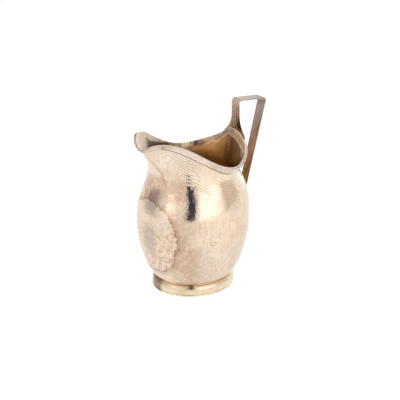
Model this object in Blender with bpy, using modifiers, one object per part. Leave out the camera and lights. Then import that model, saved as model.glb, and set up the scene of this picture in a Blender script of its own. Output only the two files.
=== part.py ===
"""Oval silver cream jug: raised body with a drawn-out lip, collet foot, reeded rim and strap handle.

X runs along the jug from the lip (-X) to the handle (+X), Y across it and Z up. The jug stands on Z = 0,
and X = 0 is the middle of its whole length, so its body's own axis lies a little to the lip's side.
"""

from math import atan2, cos, pi, sin, tan

import bmesh
import bpy
import numpy as np
from mathutils import Vector

MM = 0.001

CLEARANCE = 0.3 * MM  # solder gap between two pieces that touch

# Collet foot: a short oval band that bulges out under the body, with a strip round its lower edge.
FOOT_HEIGHT = 7.0 * MM
FOOT_BULGE = 1.6 * MM  # how far the band stands out past the body's seat
FOOT_BULGE_HEIGHT = 2.6 * MM
FOOT_SHEET = 0.9 * MM
FOOT_LEDGE = 2.4 * MM  # width of the turned-in top that carries the body
FOOT_STRIP_HEIGHT = 1.1 * MM
FOOT_STRIP_WIDTH = 1.6 * MM

# Raised body: its half length and half width at the belly, and its height from the seat on the foot to
# the rim's highest points, beside the lip.
BODY_HALF_LENGTH = 38.4 * MM
BODY_HALF_WIDTH = 35.1 * MM
BODY_RISE = 101.7 * MM
BODY_WALL = 0.9 * MM
# From the seat to the neck. Each row holds the height above the seat as a share of the body's rise, the
# half length and the half width as shares of the belly's, and how much the row rises at the handle and
# falls at the lip, as a share of the rise.
BODY_SHARES = (
    (0.000, 0.685, 0.681, 0.000),
    (0.084, 0.823, 0.821, 0.000),
    (0.197, 0.930, 0.926, 0.000),
    (0.315, 0.992, 0.991, 0.000),
    (0.403, 1.000, 1.000, 0.005),
    (0.521, 0.974, 0.977, 0.020),
    (0.624, 0.885, 0.889, 0.025),
    (0.698, 0.815, 0.812, 0.000),
)
# Rim, from the lip's tip round one flank to the handle. Each row holds the angle from the lip in degrees,
# the distance from the axis as a share of the belly's there, and the height above the seat as a share of
# the rise.
RIM_SHARES = (
    (0.0, 1.146, 0.958),
    (12.0, 1.098, 0.995),
    (28.0, 0.952, 1.000),
    (45.0, 0.868, 0.962),
    (65.0, 0.867, 0.900),
    (90.0, 0.849, 0.822),
    (120.0, 0.882, 0.777),
    (146.0, 0.934, 0.807),
    (164.0, 0.960, 0.862),
    (172.0, 0.936, 0.900),
    (180.0, 0.926, 0.909),
)

# Let-in bottom: an oval plate inside the body's seat, lying on the foot's ledge.
BOTTOM_SHEET = 0.9 * MM

# Reeded strip round the outside of the rim, open at the handle.
BAND_HEIGHT = 4.4 * MM
BAND_LIP_HEIGHT = 1.9 * MM
BAND_LIP_SPREAD = 50.0  # degrees from the lip over which the strip narrows
BAND_SHEET = 0.5 * MM
BAND_REEDS = 4
REED_RELIEF = 0.35 * MM

# Strap handle: a riser that fans out at its base, a top bar that falls a little, and a long strut.
STRAP_SHEET = 0.65 * MM
STRAP_BASE_WIDTH = 20.0 * MM  # where it lies on the back of the rim
STRAP_TOP_WIDTH = 7.6 * MM
STRAP_FOOT_WIDTH = 5.8 * MM
STRAP_FLARE = 14.0 * MM  # height over which the base narrows and flattens
FLARE_DROP = 4.5 * MM  # how far below the rim that starts
FLARE_POWER = 2.5  # how fast the base narrows
STRAP_BASE_CURVE = 120.0 * MM  # radius that the base is bent to, round the body
STRAP_REEDS = 4
HANDLE_LAP = 6.5 * MM  # length of the riser that lies on the body below the rim
HANDLE_RISE = 20.4 * MM  # top corner above the rim
HANDLE_REACH = 23.5 * MM  # back corner behind the riser
HANDLE_FALL = 3.6 * MM  # back corner below the top corner
HANDLE_LANDING = 33.5 * MM  # height above the seat where the strut comes down to the body
HANDLE_SEAT = 5.0 * MM  # length of its end that lies on the body
CORNER_RADIUS = 2.0 * MM
LANDING_RADIUS = 9.0 * MM

BODY_SIDES = 72  # facets round each oval
BODY_BANDS = 22  # facets up the body
BAND_STEPS = 84
REED_STEPS = 3  # facets across each reed
CORNER_STEPS = 5
FLARE_STEPS = 6
LAP_STEPS = 3
EDGE_STEPS = 4  # facets of the foot's bulge and of its strip's round

SEAT_Z = FOOT_HEIGHT + CLEARANCE


# ---- curves and surfaces ----


def smooth_rows(knots, rows, places, flat_ends=False):
    """Cubic curve through a row of values at each knot, read at the given places.

    Its ends are level with flat_ends, for a curve that is mirrored there, and otherwise free.
    """
    knots = np.asarray(knots, float)
    rows = np.asarray(rows, float)
    flat = rows.reshape(len(knots), -1)
    step = np.diff(knots)
    slope = np.diff(flat, axis=0) / step[:, None]
    system = np.eye(len(knots))
    right = np.zeros_like(flat)
    for i in range(1, len(knots) - 1):
        system[i, i - 1 : i + 2] = step[i - 1], 2 * (step[i - 1] + step[i]), step[i]
        right[i] = 6 * (slope[i] - slope[i - 1])
    if flat_ends:
        system[0, :2] = 2 * step[0], step[0]
        system[-1, -2:] = step[-1], 2 * step[-1]
        right[0] = 6 * slope[0]
        right[-1] = -6 * slope[-1]
    bend = np.linalg.solve(system, right)
    i = np.clip(np.searchsorted(knots, places, side="right") - 1, 0, len(step) - 1)
    after = (knots[i + 1] - places)[:, None]
    before = (places - knots[i])[:, None]
    width = step[i][:, None]
    read = (bend[i] * after**3 + bend[i + 1] * before**3) / (6 * width)
    read += (flat[i] / width - bend[i] * width / 6) * after
    read += (flat[i + 1] / width - bend[i + 1] * width / 6) * before
    return read.reshape((len(places),) + rows.shape[1:])


def oval_radius(half_length, half_width, angles):
    """Distance from the axis to an oval, at angles from the lip."""
    return 1 / np.hypot(np.cos(angles) / half_length, np.sin(angles) / half_width)


def around_axis(radii, heights, angles):
    """Points at the given distances from the axis and heights, with the angle counted from the lip."""
    radii, heights, angles = np.broadcast_arrays(radii, heights, angles)
    return np.stack([-radii * np.cos(angles), -radii * np.sin(angles), heights], axis=-1)


def body_grid(angles, bands):
    """Outer surface of the body: bands + 1 rows from the seat to the rim, one column an angle.

    Each column is a smooth curve through the body's rows and the rim, so the lower rows are level ovals
    and the upper ones gather under the rim's own curve.
    """
    radii, heights = [], []
    for height, length_share, width_share, tilt in BODY_SHARES:
        radii.append(oval_radius(BODY_HALF_LENGTH * length_share, BODY_HALF_WIDTH * width_share, angles))
        heights.append(SEAT_Z + BODY_RISE * (height - tilt * np.cos(angles)))
    rim = np.array(RIM_SHARES)
    turn = np.degrees(np.abs((angles + pi) % (2 * pi) - pi))
    reach, rise = smooth_rows(rim[:, 0], rim[:, 1:], turn, flat_ends=True).T
    radii.append(oval_radius(BODY_HALF_LENGTH, BODY_HALF_WIDTH, angles) * reach)
    heights.append(SEAT_Z + BODY_RISE * rise)
    stations = np.stack([radii, heights], axis=-1)
    lengths = np.linalg.norm(np.diff(stations, axis=0), axis=-1).mean(axis=1)
    knots = np.concatenate([[0], np.cumsum(lengths)])
    rows = smooth_rows(knots, stations, np.linspace(0, knots[-1], bands + 1))
    return around_axis(rows[..., 0], rows[..., 1], angles)


def peak_reach():
    """Distance from the axis to the rim's peak at the handle."""
    return RIM_SHARES[-1][1] * BODY_HALF_LENGTH


def back_profile():
    """The body's outermost line across the strap's base, from the seat up to the rim, in X and Z.

    Each column counts with the strap's own bend there, so the bent base clears the body all across.
    """
    spread = np.arcsin(STRAP_BASE_WIDTH / 2 / peak_reach()) + pi / BODY_SIDES
    columns = body_grid(np.linspace(pi - spread, pi, 7), 8 * BODY_BANDS)
    heights = columns[:, -1, 2]
    reaches = []
    for column in np.moveaxis(columns, 1, 0):
        outermost = column[:, 0] + base_bend(column[:, 1])
        reaches.append(np.interp(heights, column[:, 2], outermost, right=0))
    return np.stack([np.max(reaches, axis=0), heights], axis=-1)


def base_bend(across):
    """How far the strap's base falls back towards the axis at a distance from its middle."""
    return across**2 / (2 * STRAP_BASE_CURVE)


def on_back(length_from_peak=None, height=None, outward=0.0):
    """Point of the back profile, given by length down from the peak or by height, moved outward."""
    line = back_profile()
    if height is None:
        steps = np.linalg.norm(np.diff(line[::-1], axis=0), axis=1)
        down = np.concatenate([[0], np.cumsum(steps)])
        place = len(line) - 1 - np.interp(length_from_peak, down, np.arange(len(line)))
    else:
        place = np.interp(height, line[:, 1], np.arange(len(line)))
    index = np.arange(len(line))
    point = np.array([np.interp(place, index, line[:, k]) for k in (0, 1)])
    below = np.array([np.interp(place - 1, index, line[:, k]) for k in (0, 1)])
    along = (point - below) if place > 1 else line[1] - line[0]
    along /= np.hypot(*along)
    return point + outward * np.array([along[1], -along[0]])


def filleted(points, radii):
    """Path along straight runs whose inner corners are arcs of the given radii. Each in X and Z."""
    path = [points[0]]
    for before, corner, after, radius in zip(points, points[1:], points[2:], radii):
        to_before = (before - corner) / np.hypot(*(before - corner))
        to_after = (after - corner) / np.hypot(*(after - corner))
        turn = pi - np.arccos(np.clip(to_before @ to_after, -1, 1))
        middle = to_before + to_after
        centre = corner + middle / np.hypot(*middle) * radius / cos(turn / 2)
        first = corner + to_before * radius * tan(turn / 2) - centre
        last = corner + to_after * radius * tan(turn / 2) - centre
        start = atan2(first[1], first[0])
        sweep = (atan2(last[1], last[0]) - start + pi) % (2 * pi) - pi
        for step in range(CORNER_STEPS + 1):
            angle = start + sweep * step / CORNER_STEPS
            path.append(centre + radius * np.array([cos(angle), sin(angle)]))
    path.append(points[-1])
    return np.array(path)


def reed_heights(reeds):
    """Places from 0 to 1 across a reeded face, and the relief there, from 0 in a groove to 1 on a reed."""
    places = np.linspace(0, 1, reeds * REED_STEPS + 1)
    within = places * reeds % 1
    return places, np.sqrt(np.maximum(0, 1 - (2 * within - 1) ** 2))


# ---- objects ----


def silver(name, colour, roughness):
    """Silver of the given linear colour."""
    material = bpy.data.materials.new(name)
    material.use_nodes = True
    shader = material.node_tree.nodes["Principled BSDF"]
    shader.inputs["Base Color"].default_value = (*colour, 1)
    shader.inputs["Metallic"].default_value = 1
    shader.inputs["Roughness"].default_value = roughness
    return material


def add_piece(name, data, material, jug):
    """A named piece of the jug in its collection."""
    piece = bpy.data.objects.new(name, data)
    data.materials.append(material)
    bpy.data.collections["cream_jug"].objects.link(piece)
    piece.parent = jug
    return piece


def loft(name, grid, closed_section, closed_round):
    """Smooth-shaded mesh over a grid of points, whose rows run round and whose columns are sections.

    A closed section that doesn't close round the jug gets a flat cap at each end.
    """
    rows, columns = grid.shape[:2]
    faces = []
    for i in range(rows if closed_section else rows - 1):
        for j in range(columns if closed_round else columns - 1):
            up, on = (i + 1) % rows, (j + 1) % columns
            faces.append((i * columns + j, i * columns + on, up * columns + on, up * columns + j))
    if closed_section and not closed_round:
        faces.append([i * columns for i in range(rows)])
        faces.append([i * columns + columns - 1 for i in reversed(range(rows))])
    mesh = bpy.data.meshes.new(name)
    mesh.from_pydata(grid.reshape(-1, 3).tolist(), [], faces)
    if closed_section:
        surface = bmesh.new()
        surface.from_mesh(mesh)
        bmesh.ops.recalc_face_normals(surface, faces=surface.faces)
        surface.to_mesh(mesh)
        surface.free()
    mesh.shade_smooth()
    mesh.set_sharp_from_angle(angle=0.6)
    return mesh


def all_angles():
    """Angles of the facets round the jug, from the lip."""
    return np.linspace(0, 2 * pi, BODY_SIDES, endpoint=False)


def seat_oval(outward, angles):
    """Distance from the axis to the body's seat, moved outward."""
    _, length_share, width_share, _ = BODY_SHARES[0]
    half_length = BODY_HALF_LENGTH * length_share
    half_width = BODY_HALF_WIDTH * width_share
    return oval_radius(half_length + outward, half_width + outward, angles)


def oval_ring(name, section):
    """Ring round the foot with the given section: distances out from the body's seat, and heights."""
    angles = all_angles()
    rows = [around_axis(seat_oval(outward, angles), height, angles) for outward, height in section]
    return loft(name, np.array(rows), closed_section=True, closed_round=True)


def add_foot(material, jug):
    """Collet: a bulged band with a turned-in top, cut from sheet of one thickness."""
    low = FOOT_STRIP_HEIGHT + CLEARANCE
    rise = FOOT_HEIGHT - FOOT_BULGE_HEIGHT
    outer = [(-FOOT_LEDGE, FOOT_HEIGHT), (0, FOOT_HEIGHT)]
    inner = [(-FOOT_LEDGE, FOOT_HEIGHT - FOOT_SHEET)]
    for step in range(1, EDGE_STEPS + 1):
        angle = pi / 2 * (1 - step / EDGE_STEPS)
        bulge = FOOT_BULGE * cos(angle)
        outer.append((bulge, FOOT_BULGE_HEIGHT + rise * sin(angle)))
        inner.append((bulge - FOOT_SHEET, FOOT_BULGE_HEIGHT + (rise - FOOT_SHEET) * sin(angle)))
    outer.append((FOOT_BULGE, low))
    inner.append((FOOT_BULGE - FOOT_SHEET, low))
    add_piece("foot_collet", oval_ring("foot_collet", outer + inner[::-1]), material, jug)


def add_foot_strip(material, jug):
    """Strip under the collet's edge, flat below and rounded outside, on which the jug stands."""
    half = FOOT_STRIP_HEIGHT / 2
    inside = FOOT_BULGE - FOOT_STRIP_WIDTH
    section = [(inside, 0), (inside, FOOT_STRIP_HEIGHT)]
    for step in range(EDGE_STEPS + 1):
        angle = pi / 2 - pi * step / EDGE_STEPS
        section.append((FOOT_BULGE - half + half * cos(angle), half + half * sin(angle)))
    add_piece("foot_strip", oval_ring("foot_strip", section), material, jug)


def add_body(material, jug):
    """Raised shell, whose wall goes inward from the lofted surface."""
    grid = body_grid(all_angles(), BODY_BANDS)
    surface = loft("body_shell", grid, closed_section=False, closed_round=True)
    body = add_piece("body_shell", surface, material, jug)
    wall = body.modifiers.new("wall", "SOLIDIFY")
    wall.thickness = BODY_WALL
    wall.offset = -1
    wall.use_even_offset = True


def add_bottom(material, jug):
    """Flat oval plate let into the body's seat, clear of its wall."""
    angles = all_angles()
    edge = around_axis(seat_oval(-BODY_WALL - CLEARANCE, angles), SEAT_Z + BOTTOM_SHEET / 2, angles)
    outline = bpy.data.curves.new("bottom_plate", "CURVE")
    outline.dimensions = "2D"
    outline.fill_mode = "BOTH"
    outline.extrude = BOTTOM_SHEET / 2
    spline = outline.splines.new("POLY")
    spline.points.add(len(edge) - 1)
    for point, (x, y, _) in zip(spline.points, edge):
        point.co = (x, y, 0, 1)
    spline.use_cyclic_u = True
    plate = add_piece("bottom_plate", outline, material, jug)
    plate.location.z = SEAT_Z + BOTTOM_SHEET / 2


def add_rim_band(material, jug):
    """Reeded strip that follows the rim on the outside, from one side of the handle to the other."""
    end = pi - np.arcsin((STRAP_BASE_WIDTH / 2 + CLEARANCE) / peak_reach())
    angles = np.linspace(-end, end, BAND_STEPS + 1)
    body = body_grid(angles, 8 * BODY_BANDS)[::-1]
    down = np.cumsum(np.linalg.norm(np.diff(body, axis=0, prepend=body[:1]), axis=-1), axis=0)
    places, relief = reed_heights(BAND_REEDS)
    share = np.clip(np.abs(np.degrees(angles)) / BAND_LIP_SPREAD, 0, 1)
    heights = BAND_LIP_HEIGHT + (BAND_HEIGHT - BAND_LIP_HEIGHT) * share**2 * (3 - 2 * share)
    face = np.empty((len(places), len(angles), 3))
    for j, height in enumerate(heights):
        for k in range(3):
            face[:, j, k] = np.interp(places * height, down[:, j], body[:, j, k])
    outward = np.cross(np.gradient(face, axis=1), -np.gradient(face, axis=0))
    outward /= np.linalg.norm(outward, axis=-1, keepdims=True)
    outer = face + outward * (CLEARANCE + BAND_SHEET + REED_RELIEF * relief)[:, None, None]
    inner = (face + outward * CLEARANCE)[:: -REED_STEPS]
    add_piece("rim_band", loft("rim_band", np.concatenate([outer, inner]), True, False), material, jug)


def handle_path():
    """Middle of the strap from its lap on the rim's back to its end on the belly, in X and Z."""
    stand_off = CLEARANCE + STRAP_SHEET / 2
    steps = np.arange(LAP_STEPS, -1, -1)
    lengths = HANDLE_LAP * steps / LAP_STEPS
    *lap, peak = [on_back(length_from_peak=length, outward=stand_off + REED_RELIEF) for length in lengths]
    top = peak + np.array([0, HANDLE_RISE])
    back = top + np.array([HANDLE_REACH, -HANDLE_FALL])
    landing = on_back(height=SEAT_Z + HANDLE_LANDING, outward=stand_off)
    end = on_back(height=SEAT_Z + HANDLE_LANDING - HANDLE_SEAT, outward=stand_off)
    radii = (CORNER_RADIUS, CORNER_RADIUS, CORNER_RADIUS, LANDING_RADIUS)
    path = filleted([lap[-1], peak, top, back, landing, end], radii)
    shares = np.arange(1, FLARE_STEPS + 1)[:, None] / FLARE_STEPS
    flare = peak + np.array([0, STRAP_FLARE - FLARE_DROP]) * shares
    path = np.insert(path, CORNER_STEPS + 2, flare, axis=0)
    return np.concatenate([lap[:-1], path])


def add_handle(material, jug):
    """Strap swept along the handle's path, plain inside the loop and reeded outside it."""
    path = handle_path()
    along = np.gradient(path, axis=0)
    along /= np.linalg.norm(along, axis=1, keepdims=True)
    outside = np.stack([-along[:, 1], along[:, 0]], axis=1)
    gone = np.concatenate([[0], np.cumsum(np.linalg.norm(np.diff(path, axis=0), axis=1))])
    strut_start = HANDLE_LAP + HANDLE_RISE + HANDLE_REACH
    widths = np.interp(gone, [strut_start, gone[-1]], [STRAP_TOP_WIDTH, STRAP_FOOT_WIDTH])
    narrowed = (gone - HANDLE_LAP + FLARE_DROP) / STRAP_FLARE
    flared = np.clip(1 - narrowed, 0, 1) ** FLARE_POWER
    widths += (STRAP_BASE_WIDTH - STRAP_TOP_WIDTH) * flared
    places, relief = reed_heights(STRAP_REEDS)
    across = np.concatenate([places - 0.5, np.linspace(0.5, -0.5, STRAP_REEDS + 1)])[:, None] * widths
    plain = np.full(STRAP_REEDS + 1, -STRAP_SHEET / 2)
    lift = np.concatenate([STRAP_SHEET / 2 + REED_RELIEF * relief, plain])
    middle = path + outside * lift[:, None, None]
    grid = np.stack([middle[..., 0] - base_bend(across) * flared, across, middle[..., 1]], axis=-1)
    add_piece("handle_strap", loft("handle_strap", grid, True, False), material, jug)


def centre_on_length(jug):
    """Move the jug so that X = 0 is the middle of its whole length."""
    bpy.context.view_layer.update()
    ends = []
    for piece in jug.children:
        for corner in piece.bound_box:
            ends.append((piece.matrix_world @ Vector(corner)).x)
    jug.location.x = -(min(ends) + max(ends)) / 2


def main():
    for old in list(bpy.data.objects):
        bpy.data.objects.remove(old, do_unlink=True)
    collection = bpy.data.collections.new("cream_jug")
    bpy.context.scene.collection.children.link(collection)
    jug = bpy.data.objects.new("jug", None)
    collection.objects.link(jug)
    add_foot(silver("foot_silver", (0.80, 0.68, 0.46), 0.22), jug)
    add_foot_strip(silver("foot_strip_silver", (0.82, 0.72, 0.52), 0.2), jug)
    add_body(silver("body_silver", (0.78, 0.63, 0.50), 0.2), jug)
    add_bottom(silver("bottom_silver", (0.62, 0.50, 0.36), 0.3), jug)
    add_rim_band(silver("band_silver", (0.76, 0.68, 0.58), 0.24), jug)
    add_handle(silver("handle_silver", (0.42, 0.32, 0.26), 0.3), jug)
    centre_on_length(jug)


main()
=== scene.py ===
from math import pi, radians

import bpy
import numpy as np
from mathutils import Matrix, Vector


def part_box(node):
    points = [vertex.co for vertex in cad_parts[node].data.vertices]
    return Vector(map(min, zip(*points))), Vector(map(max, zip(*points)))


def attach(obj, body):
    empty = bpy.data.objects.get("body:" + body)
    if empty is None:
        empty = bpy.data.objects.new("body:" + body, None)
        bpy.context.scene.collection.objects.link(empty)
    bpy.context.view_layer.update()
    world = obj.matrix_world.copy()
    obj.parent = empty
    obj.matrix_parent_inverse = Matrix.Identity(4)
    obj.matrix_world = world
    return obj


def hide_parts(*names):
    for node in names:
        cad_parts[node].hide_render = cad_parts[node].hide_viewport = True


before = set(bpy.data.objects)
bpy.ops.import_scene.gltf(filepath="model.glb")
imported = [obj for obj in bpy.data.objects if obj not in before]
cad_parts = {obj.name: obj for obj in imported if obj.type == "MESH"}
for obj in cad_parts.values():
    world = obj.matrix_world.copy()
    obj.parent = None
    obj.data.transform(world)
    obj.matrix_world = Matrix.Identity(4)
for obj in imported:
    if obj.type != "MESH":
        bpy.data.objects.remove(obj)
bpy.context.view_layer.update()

print("frame loaded:", ", ".join(sorted(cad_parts)))

mm = 0.001
tenths = 10        # surface patterns count tenths of a metre
sharpAngle = 0.7   # radians between two faces from which their edge shows
footLow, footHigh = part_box("foot_collet")
axisX = (footLow.x + footHigh.x) / 2   # the body's own axis, which lies to the lip's side of X = 0


def linearColour(code):
    # an sRGB hex code as linear red, green, blue and alpha
    parts = np.array([int(code[i:i + 2], 16) for i in (0, 2, 4)]) / 255
    parts = np.where(parts <= 0.04045, parts / 12.92, ((parts + 0.055) / 1.055) ** 2.4)
    return (*(float(part) for part in parts), 1.0)


def addNode(tree, kind, values={}, links={}, **settings):
    # one shader node, with its settings, its sockets' values and what feeds them
    node = tree.nodes.new("ShaderNode" + kind)
    for key, value in settings.items():
        setattr(node, key, value)
    for key, value in values.items():
        node.inputs[key].default_value = value
    for key, source in links.items():
        tree.links.new(source, node.inputs[key])
    return node


def smooth(value, low, high):
    # 0 below low, 1 above high, and an S curve between them
    share = np.clip((value - low) / (high - low), 0, 1)
    return share * share * (3 - 2 * share)


def curveThrough(knots, rows, places, levelEnds=False):
    # natural cubic through a row of values at each knot, or one that is level at both ends
    knots, rows = np.asarray(knots, float), np.asarray(rows, float)
    flat = rows.reshape(len(knots), -1)
    step = np.diff(knots)
    slope = np.diff(flat, axis=0) / step[:, None]
    system, right = np.eye(len(knots)), np.zeros_like(flat)
    for i in range(1, len(knots) - 1):
        system[i, i - 1:i + 2] = step[i - 1], 2 * (step[i - 1] + step[i]), step[i]
        right[i] = 6 * (slope[i] - slope[i - 1])
    if levelEnds:
        system[0, :2] = 2 * step[0], step[0]
        system[-1, -2:] = step[-1], 2 * step[-1]
        right[0], right[-1] = 6 * slope[0], -6 * slope[-1]
    bend = np.linalg.solve(system, right)
    i = np.clip(np.searchsorted(knots, places, side="right") - 1, 0, len(step) - 1)
    after, before, width = (knots[i + 1] - places)[:, None], (places - knots[i])[:, None], step[i][:, None]
    read = (bend[i] * after ** 3 + bend[i + 1] * before ** 3) / (6 * width)
    read += (flat[i] / width - bend[i] * width / 6) * after
    read += (flat[i + 1] / width - bend[i + 1] * width / 6) * before
    return read.reshape((len(places),) + rows.shape[1:])


def gridMesh(name, grid, pattern, roundClosed):
    # quads over a grid of points, whose rows close into a section and whose columns go round or along; pattern
    # has one row more than the grid, each point's place on the surface, and becomes the UV map
    rows, columns = grid.shape[:2]
    i, j = np.meshgrid(np.arange(rows), np.arange(columns if roundClosed else columns - 1), indexing="ij")
    up, on = (i + 1) % rows, (j + 1) % columns
    faces = np.stack([i * columns + j, up * columns + j, up * columns + on, i * columns + on], -1)
    places = np.stack([pattern[i, j], pattern[i + 1, j], pattern[i + 1, j + 1], pattern[i, j + 1]], -2)
    faces, places = faces.reshape(-1, 4), places.reshape(-1, 4, 2)
    points = grid.reshape(-1, 3)
    a, b, c, d = (points[faces[:, k]] for k in range(4))
    volume = (np.cross(a, b) * c).sum() + (np.cross(a, c) * d).sum()
    if volume < 0:   # an inside-out section is turned round
        faces, places = faces[:, ::-1], places[:, ::-1]
    rings = []
    if not roundClosed:   # one face closes each end of a swept strip
        first = np.arange(rows) * columns
        rings = [first[::-1].tolist(), (first + columns - 1).tolist()]
        if volume < 0:
            rings = [ring[::-1] for ring in rings]
    mesh = bpy.data.meshes.new(name)
    mesh.from_pydata(points.tolist(), [], faces.tolist() + rings)
    ends = [pattern[:rows, k] for k in (0, -1)][:len(rings)]
    spots = np.concatenate([places.reshape(-1, 2), *ends])
    mesh.uv_layers.new(name="surface").data.foreach_set("uv", spots.reshape(-1).astype(np.float32))
    mesh.shade_smooth()
    mesh.set_sharp_from_angle(angle=sharpAngle)
    return mesh


def addObject(name, data):
    made = bpy.data.objects.new(name, data)
    bpy.context.scene.collection.objects.link(made)
    return made


def addPiece(mesh, material, slotName, *nodes):
    # a finished piece, riding the jug's one body in place of its CAD node
    piece = addObject(mesh.name, mesh)
    mesh.materials.append(material)
    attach(piece, "root")
    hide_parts(*nodes)
    print(f"{mesh.name}: {len(mesh.polygons)} faces")


# shapes shared by the body, the rim's strip and the handle
body = {
    "halfLength": 38.4 * mm, "halfWidth": 35.1 * mm, "rise": 101.7 * mm, "wall": 0.9 * mm,
    "seat": 7.3 * mm,
    # height, half length and half width as shares, and how far the row climbs towards the handle
    "rows": ((0.000, 0.685, 0.681, 0.000), (0.084, 0.823, 0.821, 0.000), (0.197, 0.930, 0.926, 0.000),
             (0.315, 0.992, 0.991, 0.000), (0.403, 1.000, 1.000, 0.005), (0.521, 0.974, 0.977, 0.020),
             (0.624, 0.885, 0.889, 0.025), (0.698, 0.815, 0.812, 0.000)),
    # degrees from the lip, distance from the axis as a share of the belly's, and height as a share
    "rim": ((0, 1.146, 0.958), (12, 1.098, 0.995), (28, 0.952, 1.000), (45, 0.868, 0.962),
            (65, 0.867, 0.900), (90, 0.849, 0.822), (120, 0.882, 0.777), (146, 0.934, 0.807),
            (164, 0.960, 0.862), (172, 0.936, 0.900), (180, 0.926, 0.909)),
    # the mesh: columns, their pull to the lip, points read on each, rows, inner rows' spread, rounded edge
    "columns": 288, "pull": 0.4, "samples": 900, "threadZone": 25 * mm, "threadRows": 158, "lowerRows": 58,
    "innerRows": 64, "innerSpread": 1.3, "edgeRise": 0.32 * mm, "edgeSteps": 5,
    "threads": 12, "threadPitch": 1.95 * mm, "threadStart": 1.1 * mm, "threadDepth": 0.18 * mm, "threadPower": 2.4,
    # degrees from the lip over which the first thread begins, how much later each next one does, where they
    # deepen, and where they grow faint and fewer
    "threadBegin": (14.0, 26.0), "threadLater": 2.2, "threadDeepen": (34.0, 48.0), "threadShallow": 0.45,
    "threadThin": (56.0, 88.0), "threadFaint": 0.78, "threadFewer": 5.0, "threadSoft": 0.6,
    # where the inner surface and the rounded edge begin in the surface pattern
    "innerMark": -40 * mm, "edgeMark": -20 * mm,
    # the hammer's waves: depth, start below the strip, and each sine's count round, rise per metre and start
    "planish": 0.03 * mm, "planishStart": 6 * mm, "waves": ((17, 900, 0.0), (11, -700, 1.3)),
    # worn ripples at the threads' lower end: degrees from the lip and height, as middle and half; pitch, shift
    # per degree, depth, and the softness of their edge
    "rippleTurn": (48.5, 10.0), "rippleHeight": (84.4 * mm, 6.8 * mm), "ripplePitch": 2.4 * mm,
    "rippleLean": 0.07, "rippleDepth": 0.27 * mm, "rippleSoft": 0.4,
}
band = {
    "height": 4.4 * mm, "lipHeight": 1.9 * mm, "lipSpread": 50.0, "sheet": 0.5 * mm, "reeds": 4,
    "relief": 0.35 * mm, "reedSteps": 8, "columns": 420, "endPull": 0.25, "sunk": 0.06 * mm,
}
strap = {
    "sheet": 0.65 * mm, "baseWidth": 20.0 * mm, "topWidth": 7.6 * mm, "footWidth": 5.8 * mm,
    "flare": 14.0 * mm, "flareDrop": 4.5 * mm, "flarePower": 2.5, "baseCurve": 120 * mm, "reeds": 4,
    "relief": 0.35 * mm, "reedSteps": 8, "reedFade": (2.5 * mm, 9.0 * mm), "crown": 0.8,
    "lap": 6.5 * mm, "lapSteps": 3, "riseUp": 20.4 * mm, "reach": 23.5 * mm, "fall": 3.6 * mm,
    "landing": 33.5 * mm, "seated": 5.0 * mm, "corner": 2.0 * mm, "landingCorner": 9.0 * mm, "cornerSteps": 14,
    "pathStep": 0.3 * mm, "edgeSteps": 4, "edgeInset": 0.02, "clearance": 0.3 * mm,
    # where the body is read behind it: degrees past its base's ends, columns, and points on each
    "backMargin": 2.5, "backColumns": 7, "backSamples": 400,
}


def ovalRadius(halfLength, halfWidth, angles):
    # distance from the axis to an oval: one over the length of (cosine / half length, sine / half width)
    return 1 / np.hypot(np.cos(angles) / halfLength, np.sin(angles) / halfWidth)


def degreesOff(angles):
    # degrees from the lip, either way
    return np.degrees(np.abs((angles + pi) % (2 * pi) - pi))


def lengthsAlong(points):
    # distance along a line of points from its first to each
    return np.concatenate([[0], np.cumsum(np.linalg.norm(np.diff(points, axis=0), axis=1))])


def aroundAxis(radii, heights, angles):
    # angle 0 points at the lip, towards -X, and 90 degrees towards -Y
    radii, heights, angles = np.broadcast_arrays(radii, heights, angles)
    return np.stack([axisX - radii * np.cos(angles), -radii * np.sin(angles), heights], axis=-1)


def bodyColumns(angles, samples):
    # outer surface: at each angle a cubic runs up through the body's ovals and ends on the rim's own curve
    radii, heights = [], []
    for height, lengthShare, widthShare, tilt in body["rows"]:
        radii.append(ovalRadius(body["halfLength"] * lengthShare, body["halfWidth"] * widthShare, angles))
        heights.append(body["seat"] + body["rise"] * (height - tilt * np.cos(angles)))
    rim = np.array(body["rim"])
    reach, climb = curveThrough(rim[:, 0], rim[:, 1:], degreesOff(angles), levelEnds=True).T
    radii.append(ovalRadius(body["halfLength"], body["halfWidth"], angles) * reach)
    heights.append(body["seat"] + body["rise"] * climb)
    stations = np.stack([radii, heights], axis=-1)
    lengths = np.linalg.norm(np.diff(stations, axis=0), axis=-1).mean(axis=1)
    knots = np.concatenate([[0], np.cumsum(lengths)])
    return curveThrough(knots, stations, np.linspace(0, knots[-1], samples))


def readDown(columns, distances):
    # points at the given distances down from the rim on each column, and each column's whole length
    downward = columns[::-1]
    down = np.cumsum(np.linalg.norm(np.diff(downward, axis=0, prepend=downward[:1]), axis=-1), axis=0)
    points = np.empty((distances.shape[0], columns.shape[1], 2))
    for j in range(columns.shape[1]):
        for k in (0, 1):
            points[:, j, k] = np.interp(distances[:, j], down[:, j], downward[:, j, k])
    return points, down[-1]


def surfaceNormals(points, roundClosed):
    # outward direction of a grid whose rows run down and whose columns run round from the lip
    if roundClosed:
        around = np.roll(points, -1, axis=1) - np.roll(points, 1, axis=1)
    else:
        around = np.gradient(points, axis=1)
    normals = np.cross(around, -np.gradient(points, axis=0))
    return normals / np.linalg.norm(normals, axis=-1, keepdims=True)


def bandHeight(turn):
    # the rim's strip narrows on an S curve towards the lip; turn is in degrees from the lip
    return band["lipHeight"] + (band["height"] - band["lipHeight"]) * smooth(turn, 0, band["lipSpread"])


def maths(tree, operation, *terms):
    # one step of arithmetic; each term is a number or another node's output
    node = addNode(tree, "Math", operation=operation)
    for socket, term in zip(node.inputs, terms):
        if isinstance(term, (int, float)):
            socket.default_value = term
        else:
            tree.links.new(term, socket)
    return node.outputs[0]


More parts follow.
